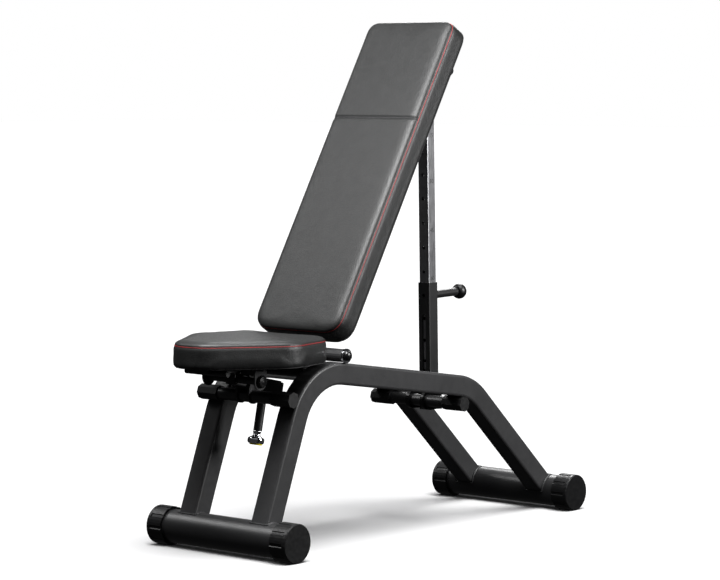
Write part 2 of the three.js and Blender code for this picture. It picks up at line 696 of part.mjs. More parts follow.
function backrestSpine() {
  const profile = [
    [SPINE_START, spineBottom],
    [SPINE_END - SPINE_MITRE, spineBottom],
    [SPINE_END, spineTop],
    [SPINE_START, spineTop],
  ];
  const half = SPINE_WIDTH / 2;
  const innerHalf = half - SPINE_WALL;
  const hollow = block(
    SPINE_START - 1, SPINE_END + 1, -innerHalf, innerHalf, spineBottom + SPINE_WALL, spineTop - SPINE_WALL,
  );
  return plate(profile, -half, half).subtract(hollow);
}

// Pivot tube on the axle, with a lug on each side that holds the spine between them.
function backrestHingeBracket() {
  const half = HINGE_TUBE_HALF_LENGTH;
  let bracket = crossRod(HINGE_BARREL_RADIUS, 0, 0, -half, half);
  const lugStart = SPINE_WIDTH / 2 + TOUCH;
  for (const side of [-1, 1]) {
    const inner = side * lugStart;
    const outer = side * (lugStart + HINGE_LUG_THICKNESS);
    const web = [
      [0, -HINGE_LUG_RADIUS], [HINGE_LUG_LENGTH, spineBottom], [HINGE_LUG_LENGTH, spineTop], [28, spineTop],
      [14, 12], [0, HINGE_LUG_RADIUS - 1],
    ];
    bracket = bracket.add(crossRod(HINGE_LUG_RADIUS, 0, 0, inner, outer)).add(plate(web, inner, outer));
  }
  return bracket.subtract(crossRod(axleBore, 0, 0, -half - 1, half + 1));
}

// A hanging plate with a round lower end, a bolting flange turned inwards, and a hole for a bar.
function hangerPlate(x, z, halfWidth, top, side, innerY, thickness, flange, hole) {
  const outline = [[x - halfWidth, top], [x + halfWidth, top]];
  const steps = 10;
  for (let step = 0; step <= steps; step++) {
    const angle = (-Math.PI * step) / steps;
    outline.push([x + halfWidth * Math.cos(angle), z + halfWidth * Math.sin(angle)]);
  }
  const inner = side * innerY;
  const outer = side * (innerY + thickness);
  const flangeEnd = inner - side * flange;
  const tabStart = Math.min(outer, flangeEnd);
  const tabEnd = Math.max(outer, flangeEnd);
  const tab = block(x - halfWidth, x + halfWidth, tabStart, tabEnd, top - thickness, top);
  return plate(outline, inner, outer).add(tab).subtract(crossRod(hole, x, z, inner - side, outer + side));
}

function roundCap(radius, height, x, z, start, side) {
  const profile = [[0, 0], [radius, 0], [radius, height * 0.45], [radius * 0.8, height * 0.85], [0, height]];
  return turned(profile, point(x, start, z), point(x, start + side, z), FACETS);
}

addPart(backrest, "backrest_spine", backrestSpine(), powderCoat);
addPart(backrest, "backrest_hinge_bracket", backrestHingeBracket(), powderCoat);

const headPlateOuter = HEAD_PLATE_Y + HEAD_PLATE_THICKNESS;
addPart(
  backrest, "head_bar",
  crossRod(HEAD_BAR_RADIUS, HEAD_BAR_ALONG, -HEAD_BAR_BELOW, -headPlateOuter, headPlateOuter), steel,
);
for (const [hand, side] of [["left", -1], ["right", 1]]) {
  const hanger = hangerPlate(
    HEAD_BAR_ALONG, -HEAD_BAR_BELOW, HEAD_PLATE_WIDTH / 2, spineTop, side, HEAD_PLATE_Y, HEAD_PLATE_THICKNESS,
    HEAD_PLATE_FLANGE, HEAD_BAR_RADIUS + TOUCH,
  );
  addPart(backrest, `head_bar_plate_${hand}`, hanger, powderCoat);
  const collarEnd = HEAD_PLATE_Y - TOUCH;
  const gripSleeve = turned(
    [
      [0, 0],
      [HEAD_GRIP_RADIUS, 0],
      [HEAD_GRIP_RADIUS, HEAD_GRIP_OUTER_Y - HEAD_GRIP_INNER_Y],
      [HEAD_COLLAR_RADIUS, HEAD_GRIP_OUTER_Y - HEAD_GRIP_INNER_Y],
      [HEAD_COLLAR_RADIUS, collarEnd - HEAD_GRIP_INNER_Y],
      [0, collarEnd - HEAD_GRIP_INNER_Y],
    ],
    point(HEAD_BAR_ALONG, side * HEAD_GRIP_INNER_Y, -HEAD_BAR_BELOW),
    point(HEAD_BAR_ALONG, side * HEAD_PLATE_Y, -HEAD_BAR_BELOW),
    FACETS,
  );
  const gripBore = crossRod(HEAD_BAR_RADIUS + TOUCH, HEAD_BAR_ALONG, -HEAD_BAR_BELOW, 0, side * FOOT_LENGTH);
  addPart(backrest, `head_bar_grip_${hand}`, gripSleeve.subtract(gripBore), rubber);
  const headCap = roundCap(
    HEAD_CAP_RADIUS, HEAD_CAP_HEIGHT, HEAD_BAR_ALONG, -HEAD_BAR_BELOW, side * (headPlateOuter + TOUCH), side,
  );
  addPart(backrest, `head_bar_cap_${hand}`, headCap, blackPlastic);
}

// ---- Struts ----
// A strut's own frame has its pivot at zero, Z along the tubes, and X towards the tubes' centreline.

// Cuts a cradle for the carried bar, open on one side, with a lip that lets the bar leave.
function cradle(x, z, radius, openSide, depth) {
  const mouth = x + openSide * (depth + 2);
  const outline = [
    [x, z + radius],
    [mouth, z + radius + 1],
    [mouth, z - radius - depth * 0.7],
    [x, z - radius],
  ];
  const width = BACK_STRUT_HALF_Y + 5;
  return crossRod(radius, x, z, -width, width).add(plate(outline, -width, width));
}

function innerTube(x, halfX, halfY, bottom, reach, barRadius, openSide, holes, barPath) {
  const headLength = barRadius + 14;
  let tube = boxTube(x, halfX, halfY, bottom, reach - headLength + 1);
  tube = tube.add(squareBar(x, halfX, halfY, reach - headLength, reach + barRadius + 5, STRUT_CORNER));
  for (const z of holes) {
    tube = tube.subtract(rod(NOTCH_HOLE_RADIUS, point(x - halfX - 1, 0, z), point(x + halfX + 1, 0, z), 8));
  }
  for (const [barX, barZ] of barPath) {
    tube = tube.subtract(crossRod(barRadius + CRADLE_GAP, barX, barZ, -halfY - 1, halfY + 1));
  }
  return tube.subtract(cradle(x, reach, barRadius + CRADLE_GAP, openSide, halfX));
}

class SpringCurve extends THREE.Curve {
  getPoint(t, target = new THREE.Vector3()) {
    const angle = t * SPRING_TURNS * 2 * Math.PI;
    const along = t * (SPRING_END - SPRING_START);
    return target.set(along, SPRING_COIL_RADIUS * Math.cos(angle), SPRING_COIL_RADIUS * Math.sin(angle));
  }
}

function pinSpring(face, side, z) {
  const section = new THREE.Shape();
  section.absarc(0, 0, SPRING_WIRE_RADIUS, 0, 2 * Math.PI);
  const geometry = new THREE.ExtrudeGeometry(section, {
    steps: SPRING_TURNS * 9,
    curveSegments: 3,
    extrudePath: new SpringCurve(),
  });
  if (side < 0) {
    geometry.rotateZ(Math.PI);
  }
  return solidOf(geometry.translate(face + side * SPRING_START, 0, z));
}

function pinHousing(face, side, z) {
  const end = face + side * HOUSING_LENGTH;
  const outside = rod(HOUSING_RADIUS, point(face, 0, z), point(end, 0, z), FACETS);
  const hollowEnd = end - side * HOUSING_END_WALL;
  const hollow = rod(HOUSING_BORE, point(face - side, 0, z), point(hollowEnd, 0, z), 20);
  const throat = rod(PIN_RADIUS + 0.5, point(face, 0, z), point(end + side, 0, z), 16);
  return outside.subtract(hollow).subtract(throat);
}

// Pin from its tip to inside the knob, with the collar that pushes the spring.
function lockingPin(face, side, z) {
  const tip = face - side * (TOUCH + STRUT_WALL + STRUT_SLIDING_GAP - PIN_TIP_GAP);
  const end = face + side * (HOUSING_LENGTH + PIN_IN_KNOB);
  const shank = rod(PIN_RADIUS, point(tip, 0, z), point(end, 0, z), 16);
  const collarStart = face + side * PIN_COLLAR_START;
  const collarEnd = collarStart + side * PIN_COLLAR_LENGTH;
  return shank.add(rod(HOUSING_BORE - 0.5, point(collarStart, 0, z), point(collarEnd, 0, z), 20));
}

function pinSocket(face, side, z) {
  const start = face + side * (HOUSING_LENGTH - 1);
  const end = face + side * (HOUSING_LENGTH + PIN_IN_KNOB + TOUCH);
  return rod(PIN_RADIUS + TOUCH, point(start, 0, z), point(end, 0, z), 16);
}

function ballKnob(face, side, z) {
  const start = face + side * (HOUSING_LENGTH + 1);
  const profile = [[0, 0], [HOUSING_RADIUS, 0]];
  const squash = 0.94;
  for (let step = 1; step <= 8; step++) {
    const angle = -50 + (step * 140) / 8;
    const radius = step === 8 ? 0 : KNOB_RADIUS * Math.cos(angle * DEGREE);
    profile.push([radius, KNOB_RADIUS * squash * (0.8 + Math.sin(angle * DEGREE))]);
  }
  const knob = turned(profile, point(start, 0, z), point(start + side, 0, z));
  return knob.subtract(pinSocket(face, side, z));
}

function waistedKnob(face, side, z) {
  const start = face + side * (HOUSING_LENGTH + 1);
  const profile = [
    [0, 0],
    [SEAT_KNOB_RADIUS - 9, 0],
    [SEAT_KNOB_WAIST_RADIUS, 5],
    [SEAT_KNOB_WAIST_RADIUS + 1, 10],
    [SEAT_KNOB_RADIUS - 5, 13],
    [SEAT_KNOB_RADIUS, 17],
    [SEAT_KNOB_RADIUS, SEAT_KNOB_LENGTH - 4],
    [SEAT_KNOB_RADIUS - 3, SEAT_KNOB_LENGTH],
    [0, SEAT_KNOB_LENGTH],
  ];
  const knob = turned(profile, point(start, 0, z), point(start + side, 0, z));
  return knob.subtract(pinSocket(face, side, z));
}

function knobInsert(face, side, z) {
  const start = face + side * (HOUSING_LENGTH + 1 + SEAT_KNOB_LENGTH + TOUCH);
  const profile = [[0, 0], [SEAT_KNOB_RADIUS - 4, 0], [SEAT_KNOB_RADIUS - 5, 2.5], [0, 2.5]];
  return turned(profile, point(start, 0, z), point(start + side, 0, z));
}

// Backrest strut on the rear cross bar.
const backPose = strutPose(rearBar, headBarAt(BACK_ANGLE), BACK_STRUT_OFFSET);
const backStrut = new THREE.Group();
backStrut.position.set(rearBar.x, 0, rearBar.y);
backStrut.rotation.y = backPose.turn;
bench.add(backStrut);

function backStrutOuter() {
  const x = BACK_STRUT_OFFSET;
  let tube = boxTube(x, BACK_STRUT_HALF_X, BACK_STRUT_HALF_Y, BACK_STRUT_BOTTOM, BACK_STRUT_TOP);
  const rear = x + BACK_STRUT_HALF_X + 1;
  const front = x - BACK_STRUT_HALF_X - 1;
  tube = tube.subtract(
    rod(NOTCH_HOLE_RADIUS, point(front, 0, BACK_STRUT_PIN_AT), point(rear, 0, BACK_STRUT_PIN_AT), 16),
  );
  const half = BACK_STRUT_SLOT_WIDTH / 2;
  const slotDepth = front + STRUT_WALL + 2;
  let slot = block(front, slotDepth, -half, half, BACK_STRUT_SLOT_BOTTOM + half, BACK_STRUT_SLOT_TOP - half);
  for (const z of [BACK_STRUT_SLOT_BOTTOM + half, BACK_STRUT_SLOT_TOP - half]) {
    slot = slot.add(rod(half, point(front, 0, z), point(slotDepth, 0, z), 16));
  }
  return tube.subtract(slot);
}

function strutClamp(side) {
  const inner = side * (BACK_STRUT_HALF_Y + TOUCH);
  const outer = inner + side * CLAMP_THICKNESS;
  const rearEdge = BACK_STRUT_OFFSET + BACK_STRUT_HALF_X;
  const tail = [
    [0, -CLAMP_RADIUS], [rearEdge, BACK_STRUT_BOTTOM], [rearEdge, CLAMP_RADIUS - 3], [0, CLAMP_RADIUS],
  ];
  const body = crossRod(CLAMP_RADIUS, 0, 0, inner, outer, BAR_FACETS).add(plate(tail, inner, outer));
  const bore = crossRod(CROSS_BAR_RADIUS + CLAMP_BORE_GAP, 0, 0, inner - side, outer + side, BAR_FACETS);
  return body.subtract(bore);
}

// Holes in the inner tube, one for each angle of the backrest; the one in use is at the pin.
const backNotches = [];
const notchesAbove = Math.floor((BACK_STEEPEST_ANGLE + 1 - BACK_ANGLE) / BACK_NOTCH_STEP);
for (let notch = -notchesAbove; BACK_ANGLE - notch * BACK_NOTCH_STEP > BACK_LOWEST_ANGLE; notch++) {
  const angle = BACK_ANGLE - notch * BACK_NOTCH_STEP;
  backNotches.push(BACK_STRUT_PIN_AT + backPose.reach - backReachAt(angle));
}
const backLowestHole = BACK_STRUT_PIN_AT + backPose.reach - backReachAt(BACK_LOWEST_ANGLE);
const backInnerBottom = Math.min(...backNotches) - 20;
const backInnerGap = STRUT_WALL + STRUT_SLIDING_GAP;
const backFace = BACK_STRUT_OFFSET + BACK_STRUT_HALF_X + TOUCH;

addPart(backStrut, "strut_outer_tube", backStrutOuter(), glossCoat);
addPart(backStrut, "strut_clamp_left", strutClamp(-1), blackPlastic);
addPart(backStrut, "strut_clamp_right", strutClamp(1), blackPlastic);
addPart(backStrut, "strut_pin_housing", pinHousing(backFace, 1, BACK_STRUT_PIN_AT), glossCoat);
addPart(
  backStrut, "strut_inner_tube",
  innerTube(
    BACK_STRUT_OFFSET, BACK_STRUT_HALF_X - backInnerGap, BACK_STRUT_HALF_Y - backInnerGap, backInnerBottom,
    backPose.reach, HEAD_BAR_RADIUS, -1, [...backNotches, backLowestHole], [],
  ),
  steel,
);
addPart(backStrut, "strut_pin", lockingPin(backFace, 1, BACK_STRUT_PIN_AT), steel);
addPart(backStrut, "strut_pin_spring", pinSpring(backFace, 1, BACK_STRUT_PIN_AT), steel);
addPart(backStrut, "strut_pin_knob", ballKnob(backFace, 1, BACK_STRUT_PIN_AT), blackPlastic);

// ---- Seat ----

const seat = new THREE.Group();
bench.add(seat);

const seatOutline = roundedOutline([
  [SEAT_NOSE_X, -SEAT_NOSE_HALF_WIDTH, SEAT_NOSE_CORNER],
  [SEAT_WIDEST_X, -SEAT_WIDEST_HALF_WIDTH, SEAT_WIDEST_CORNER],
  [SEAT_REAR_X, -SEAT_REAR_HALF_WIDTH, SEAT_REAR_CORNER],
  [SEAT_REAR_X, SEAT_REAR_HALF_WIDTH, SEAT_REAR_CORNER],
  [SEAT_WIDEST_X, SEAT_WIDEST_HALF_WIDTH, SEAT_WIDEST_CORNER],
  [SEAT_NOSE_X, SEAT_NOSE_HALF_WIDTH, SEAT_NOSE_CORNER],
]);
addPart(seat, "seat_pad", upholsteredPad(seatOutline, SEAT_BOTTOM, SEAT_PIPING, SEAT_TOP), leatherette);
addPart(seat, "seat_board", padBoard(seatOutline, SEAT_BOTTOM), plywood);

const seatUnderside = SEAT_BOTTOM - TOUCH;

// Flat spine under the board, its block and tube on the pivot rod.
function seatBracket() {
  const half = SEAT_SPINE_WIDTH / 2;
  const radius = SEAT_PIVOT_TUBE_RADIUS;
  const length = SEAT_PIVOT_TUBE_HALF_LENGTH;
  const rear = SEAT_PIVOT_X + radius;
  return block(SEAT_SPINE_FRONT, rear, -half, half, seatUnderside - SEAT_SPINE_HEIGHT, seatUnderside)
    .add(block(SEAT_PIVOT_X - radius, rear, -half, half, SEAT_PIVOT_Z, seatUnderside))
    .add(crossRod(radius, SEAT_PIVOT_X, SEAT_PIVOT_Z, -length, length))
    .subtract(crossRod(axleBore, SEAT_PIVOT_X, SEAT_PIVOT_Z, -length - 1, length + 1))
    .subtract(crossRod(SEAT_ROD_RADIUS + TOUCH, SEAT_ROD_X, SEAT_ROD_Z, -length, length));
}

addPart(seat, "seat_bracket", seatBracket(), powderCoat);
addPart(
  seat, "seat_front_rod",
  crossRod(SEAT_ROD_RADIUS, SEAT_ROD_X, SEAT_ROD_Z, -SEAT_ROD_HALF_LENGTH, SEAT_ROD_HALF_LENGTH), powderCoat,
);
const seatPlateOuter = SEAT_PLATE_Y + SEAT_PLATE_THICKNESS;
const seatBar = crossRod(SEAT_BAR_RADIUS, SEAT_BAR_X, SEAT_BAR_Z, -seatPlateOuter, seatPlateOuter);
addPart(seat, "seat_bar", seatBar, powderCoat);
for (const [hand, side] of [["left", -1], ["right", 1]]) {
  const hanger = hangerPlate(
    SEAT_BAR_X, SEAT_BAR_Z, SEAT_PLATE_WIDTH / 2, seatUnderside, side, SEAT_PLATE_Y, SEAT_PLATE_THICKNESS,
    SEAT_PLATE_FLANGE, SEAT_BAR_RADIUS + TOUCH,
  );
  addPart(seat, `seat_bar_plate_${hand}`, hanger, powderCoat);
  const barCap = roundCap(
    SEAT_BAR_CAP_RADIUS, SEAT_BAR_CAP_LENGTH, SEAT_BAR_X, SEAT_BAR_Z, side * (seatPlateOuter + TOUCH), side,
  );
  addPart(seat, `seat_bar_cap_${hand}`, barCap, blackPlastic);
}

// Seat strut on the front cross bar.
const seatPose = strutPose(frontBar, seatBarAt(0), SEAT_STRUT_OFFSET);
const seatStrut = new THREE.Group();
seatStrut.position.set(frontBar.x, 0, frontBar.y);
seatStrut.rotation.y = seatPose.turn;
bench.add(seatStrut);

// Outer tube with an ear on each side that turns on the cross bar.
function seatStrutOuter() {
  const x = SEAT_STRUT_OFFSET;
  const half = SEAT_STRUT_HALF;
  let tube = boxTube(x, half, half, SEAT_STRUT_REAR, SEAT_STRUT_FRONT);
  for (const side of [-1, 1]) {
    const inner = side * half;
    const outer = inner + side * SEAT_STRUT_EAR_THICKNESS;
    const webEdge = x + half - STRUT_CORNER - 1;
    const web = [
      [0, -SEAT_STRUT_EAR_RADIUS],
      [webEdge, -SEAT_STRUT_EAR_RADIUS],
      [webEdge, SEAT_STRUT_FRONT],
      [0, SEAT_STRUT_FRONT],
    ];
    const ring = crossRod(SEAT_STRUT_EAR_RADIUS, 0, 0, inner, outer, BAR_FACETS);
    tube = tube.add(ring).add(plate(web, inner, outer));
  }
  const reach = half + SEAT_STRUT_EAR_THICKNESS + 1;
  const hole = [point(x - half - 1, 0, SEAT_STRUT_PIN_AT), point(x, 0, SEAT_STRUT_PIN_AT)];
  const bore = crossRod(CROSS_BAR_RADIUS + CLAMP_BORE_GAP, 0, 0, -reach, reach, BAR_FACETS);
  return tube.subtract(bore).subtract(rod(NOTCH_HOLE_RADIUS, hole[0], hole[1], 16));
}

const seatNotches = [];
for (let notch = 0; notch < SEAT_NOTCHES; notch++) {
  const tilt = (SEAT_STEEPEST_TILT * notch) / (SEAT_NOTCHES - 1);
  seatNotches.push(SEAT_STRUT_PIN_AT + seatPose.reach - seatReachAt(tilt));
}
const seatFace = SEAT_STRUT_OFFSET - SEAT_STRUT_HALF - TOUCH;
const seatInnerHalf = SEAT_STRUT_HALF - STRUT_WALL - STRUT_SLIDING_GAP;
const seatBarPath = barPathInCradle(frontBar, seatBarAt, 0, SEAT_STEEPEST_TILT, SEAT_STRUT_OFFSET, 10);
const seatInnerBottom = Math.min(...seatNotches) - 12;

addPart(seatStrut, "seat_strut_outer_tube", seatStrutOuter(), powderCoat);
addPart(seatStrut, "seat_pin_housing", pinHousing(seatFace, -1, SEAT_STRUT_PIN_AT), glossCoat);
addPart(
  seatStrut, "seat_strut_inner_tube",
  innerTube(
    SEAT_STRUT_OFFSET, seatInnerHalf, seatInnerHalf, seatInnerBottom, seatPose.reach, SEAT_BAR_RADIUS, 1,
    seatNotches, seatBarPath,
  ),
  powderCoat,
);
addPart(seatStrut, "seat_pin", lockingPin(seatFace, -1, SEAT_STRUT_PIN_AT), steel);
addPart(seatStrut, "seat_pin_spring", pinSpring(seatFace, -1, SEAT_STRUT_PIN_AT), steel);
addPart(seatStrut, "seat_pin_knob", waistedKnob(seatFace, -1, SEAT_STRUT_PIN_AT), chrome);
addPart(seatStrut, "seat_pin_knob_insert", knobInsert(seatFace, -1, SEAT_STRUT_PIN_AT), yellowPlastic);

// The origin is on the floor, under the middle of the bench.
bench.position.x = -(SEAT_NOSE_X + FOOT_SPACING + FOOT_CAP_RADIUS) / 2;

export default bench;
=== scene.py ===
"""Looks of the adjustable weight bench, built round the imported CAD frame. Metres, in the frame's axes:
+X rearward, +Y to the sitter's right, +Z up, origin on the floor under the middle of the bench."""
import json
import math

import bpy
from mathutils import Matrix, Vector
from mathutils.bvhtree import BVHTree

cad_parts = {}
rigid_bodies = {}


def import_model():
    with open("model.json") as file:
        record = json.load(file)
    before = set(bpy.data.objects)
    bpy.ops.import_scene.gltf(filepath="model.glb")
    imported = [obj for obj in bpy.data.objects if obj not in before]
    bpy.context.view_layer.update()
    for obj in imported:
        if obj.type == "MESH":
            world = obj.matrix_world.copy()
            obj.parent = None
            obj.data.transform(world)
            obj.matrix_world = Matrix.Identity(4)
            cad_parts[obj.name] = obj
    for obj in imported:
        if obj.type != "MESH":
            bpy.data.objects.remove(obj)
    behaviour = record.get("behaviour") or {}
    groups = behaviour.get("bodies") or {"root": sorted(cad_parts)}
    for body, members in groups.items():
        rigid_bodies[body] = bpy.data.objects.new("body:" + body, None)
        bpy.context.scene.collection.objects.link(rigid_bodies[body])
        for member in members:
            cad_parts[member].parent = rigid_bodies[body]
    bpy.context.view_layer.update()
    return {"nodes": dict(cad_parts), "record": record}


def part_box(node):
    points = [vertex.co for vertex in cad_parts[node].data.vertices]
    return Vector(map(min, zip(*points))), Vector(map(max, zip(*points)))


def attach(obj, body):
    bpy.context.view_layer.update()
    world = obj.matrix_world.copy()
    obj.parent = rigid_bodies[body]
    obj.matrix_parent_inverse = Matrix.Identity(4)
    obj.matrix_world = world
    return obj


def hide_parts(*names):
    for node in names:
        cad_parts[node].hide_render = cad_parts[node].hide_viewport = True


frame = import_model()
nodes = frame["nodes"]
joints = {joint["name"]: joint for joint in frame["record"]["behaviour"]["joints"]}

# ---- Sizes that the looks share with the frame ----

BACK_ANGLE = 59.4  # of the backrest, from horizontal
BACK_START = 0.029
BACK_END = 0.852
BACK_HALF_WIDTH = 0.1325
BACK_REAR_FACE = -0.008
BACK_PIPING = 0.0428
BACK_FRONT_FACE = 0.056
BACK_FOOT_CORNER = 0.050
BACK_HEAD_CORNER = 0.036
BACK_SEAM = 0.584  # the cross seam, up the pad from the hinge

SEAT_BOTTOM = 0.418
SEAT_PIPING = 0.466
SEAT_TOP = 0.479
SEAT_NOSE_HALF_WIDTH = 0.045
SEAT_NOSE_CORNER = 0.043
SEAT_WIDEST_BEHIND_NOSE = 0.183
SEAT_WIDEST_HALF_WIDTH = 0.168
SEAT_WIDEST_CORNER = 0.034
SEAT_REAR_HALF_WIDTH = 0.1276
SEAT_REAR_CORNER = 0.030

BOARD_INSET = 0.007
BOARD_THICKNESS = 0.012

PIPING_RADIUS = 0.0009

FOOT_RADIUS = 0.038
RAIL_HALF = 0.025
RAIL_CENTRE_Y = 0.109
FRONT_LEG_LEAN = 20.46
REAR_LEG_LEAN = 48.14
CROSS_BAR_RADIUS = 0.014
KNOB_RADIUS = 0.0185
KNOB_NECK_RADIUS = 0.010
KNOB_SQUASH = 0.94  # the ball's height over its width
STRUT_OFFSET = 0.038  # from the rear cross bar's axis to the strut's centreline
STRUT_MARK_SIDE = -0.0151  # just outside the inner tube's left face

FOOT_SEGMENTS = 96
CROSS_BAR_SEGMENTS = 64

# ---- Small tools ----


def new_object(name, mesh):
    obj = bpy.data.objects.new(name, mesh)
    bpy.context.scene.collection.objects.link(obj)
    return obj


def mesh_from(name, vertices, faces):
    mesh = bpy.data.meshes.new(name)
    mesh.from_pydata([tuple(v) for v in vertices], [], faces)
    mesh.validate()
    mesh.update()
    return mesh


def shade_smooth(mesh):
    mesh.polygons.foreach_set("use_smooth", [True] * len(mesh.polygons))
    mesh.update()


def evaluated_mesh(obj):
    """A new mesh with the object's modifiers applied."""
    depsgraph = bpy.context.evaluated_depsgraph_get()
    return bpy.data.meshes.new_from_object(obj.evaluated_get(depsgraph))


def apply_modifiers(obj):
    mesh = evaluated_mesh(obj)
    obj.modifiers.clear()
    obj.data = mesh


def midpoint(node):
    low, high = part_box(node)
    return (Vector(low) + Vector(high)) / 2


def tube_along(name, points, radius, closed=True, sides=8):
    """A round tube along points, as a mesh; the sections turn with the path without twisting."""
    count = len(points)
    vertices = []
    normal = None
    for i, point in enumerate(points):
        before = points[i - 1] if closed or i else point
        after = points[(i + 1) % count] if closed or i + 1 < count else point
        along = (after - before).normalized()
        if normal is None:
            normal = along.orthogonal().normalized()
        normal = (normal - along * normal.dot(along)).normalized()
        side = along.cross(normal)
        for k in range(sides):
            angle = 2 * math.pi * k / sides
            vertices.append(point + radius * (normal * math.cos(angle) + side * math.sin(angle)))
    faces = []
    for i in range(count if closed else count - 1):
        for k in range(sides):
            j = (i + 1) % count
            m = (k + 1) % sides
            faces.append((i * sides + k, i * sides + m, j * sides + m, j * sides + k))
    if not closed:
        faces.append(tuple(reversed(range(sides))))
        faces.append(tuple((count - 1) * sides + k for k in range(sides)))
    mesh = mesh_from(name, vertices, faces)
    shade_smooth(mesh)
    return new_object(name, mesh)


def turned(name, profile, centre, axis, segments=48):
    """A solid of revolution; the profile lists (radius, distance along) and starts and ends on the axis."""
    axis = axis.normalized()
    normal = axis.orthogonal().normalized()
    side = axis.cross(normal)
    vertices = [centre + axis * profile[0][1], centre + axis * profile[-1][1]]
    rings = profile[1:-1]
    for radius, distance in rings:
        for k in range(segments):
            angle = 2 * math.pi * k / segments
            spoke = normal * math.cos(angle) + side * math.sin(angle)
            vertices.append(centre + axis * distance + spoke * radius)
    faces = []
    last = 2 + (len(rings) - 1) * segments
    for k in range(segments):
        m = (k + 1) % segments
        faces.append((0, 2 + m, 2 + k))
        faces.append((1, last + k, last + m))
        for ring in range(len(rings) - 1):
            low = 2 + ring * segments
            faces.append((low + k, low + m, low + segments + m, low + segments + k))
    mesh = mesh_from(name, vertices, faces)
    shade_smooth(mesh)
    return new_object(name, mesh)


def soften_edges(obj, width, angle=30, segments=3):
    """Rounds an object's sharp edges with a bevel, without touching its own mesh."""
    bevel = obj.modifiers.new("edges", "BEVEL")
    bevel.width = width
    bevel.segments = segments
    bevel.limit_method = "ANGLE"
    bevel.angle_limit = math.radians(angle)
    bevel.harden_normals = True
    bevel.use_clamp_overlap = True


# ---- Materials ----


class Recipe:
    """A node material with a Principled shader, built one layer at a time in object coordinates."""

    def __init__(self, name, color, roughness, metallic=0.0, specular=0.5):
        self.material = bpy.data.materials.new(name)
        self.material.use_nodes = True
        self.tree = self.material.node_tree
        self.shader = self.tree.nodes["Principled BSDF"]
        self.color = color
        self.shader.inputs["Base Color"].default_value = (*color, 1)
        self.shader.inputs["Roughness"].default_value = roughness
        self.shader.inputs["Metallic"].default_value = metallic
        self.shader.inputs["Specular IOR Level"].default_value = specular
        self.coordinates = self.node("ShaderNodeTexCoord").outputs["Object"]
        self.bumped = None

    def node(self, kind, **settings):
        node = self.tree.nodes.new(kind)
        for key, value in settings.items():
            setattr(node, key, value)
        return node

    def link(self, output, socket):
        self.tree.links.new(output, socket)

    def stretched(self, scale):
        mapping = self.node("ShaderNodeMapping")
        mapping.inputs["Scale"].default_value = scale
        self.link(self.coordinates, mapping.inputs["Vector"])
        return mapping.outputs["Vector"]

    def noise(self, scale, detail=3.0, stretch=None):
        noise = self.node("ShaderNodeTexNoise")
        noise.inputs["Scale"].default_value = scale
        noise.inputs["Detail"].default_value = detail
        self.link(self.stretched(stretch) if stretch else self.coordinates, noise.inputs["Vector"])
        return noise.outputs["Fac"]

    def cells(self, scale, feature="SMOOTH_F1"):
        cells = self.node("ShaderNodeTexVoronoi", feature=feature)
        cells.inputs["Scale"].default_value = scale
        self.link(self.coordinates, cells.inputs["Vector"])
        return cells.outputs["Distance"]

    def ranged(self, value, low, high, start=0.3, end=0.7):
        spread = self.node("ShaderNodeMapRange")
        for socket, number in (("From Min", start), ("From Max", end), ("To Min", low), ("To Max", high)):
            spread.inputs[socket].default_value = number
        self.link(value, spread.inputs["Value"])
        return spread.outputs["Result"]

    def varied_color(self, value, low, high):
        """Shades the base colour between low and high times itself."""
        ramp = self.node("ShaderNodeValToRGB")
        for element, position, share in zip(ramp.color_ramp.elements, (0.3, 0.7), (low, high)):
            element.position = position
            element.color = (*[min(1.0, c * share) for c in self.color], 1)
        self.link(value, ramp.inputs["Fac"])
        self.link(ramp.outputs["Color"], self.shader.inputs["Base Color"])
        return self

    def varied_roughness(self, value, low, high):
        self.link(self.ranged(value, low, high), self.shader.inputs["Roughness"])
        return self

    def bump(self, height, distance, strength=1.0):
        bump = self.node("ShaderNodeBump")
        bump.inputs["Distance"].default_value = distance
        bump.inputs["Strength"].default_value = strength
        self.link(height, bump.inputs["Height"])
        if self.bumped:
            self.link(self.bumped, bump.inputs["Normal"])
        self.bumped = bump.outputs["Normal"]
        self.link(self.bumped, self.shader.inputs["Normal"])
        return self


def powder_coat():
    """Satin charcoal powder coat with its fine orange peel."""
    coat = Recipe("frame_coat", (0.019, 0.019, 0.0196), 0.42, 0.0, specular=0.25)
    coat.varied_color(coat.noise(9, 4), 0.88, 1.12)
    coat.varied_roughness(coat.noise(60, 4), 0.36, 0.46)
    return coat.bump(coat.noise(850, 2), 0.00012).bump(coat.noise(240, 2), 0.00010).material


def bar_coat():
    """Semi-gloss black of the foot tubes and cross bars."""
    coat = Recipe("bar_coat", (0.008, 0.008, 0.0084), 0.34, 0.0, specular=0.5)
    coat.varied_color(coat.noise(12, 3), 0.85, 1.15)
    coat.varied_roughness(coat.noise(45, 4), 0.33, 0.37)
    return coat.bump(coat.noise(900, 2), 0.00003).material


def moulded_plastic(name, color, roughness, grain):
    plastic = Recipe(name, color, roughness, specular=0.28)
    plastic.varied_color(plastic.noise(18, 3), 0.85, 1.15)
    plastic.varied_roughness(plastic.noise(120, 4), roughness - 0.06, roughness + 0.06)
    return plastic.bump(plastic.noise(1400, 3), grain).material


def moulded_rubber():
    rubber = Recipe("sleeve_rubber", (0.003, 0.003, 0.0032), 0.36, specular=0.3)
    rubber.varied_color(rubber.noise(25, 4), 0.85, 1.2)
    rubber.varied_roughness(rubber.noise(150, 3), 0.36, 0.5)
    return rubber.bump(rubber.noise(1100, 3), 0.00012).material


def chrome():
    plate = Recipe("chrome_plate", (0.78, 0.79, 0.81), 0.1, 1.0)
    plate.varied_color(plate.noise(30, 3), 0.92, 1.0)
    plate.varied_roughness(plate.noise(90, 5), 0.06, 0.16)
    return plate.bump(plate.noise(260, 2), 0.00002).material


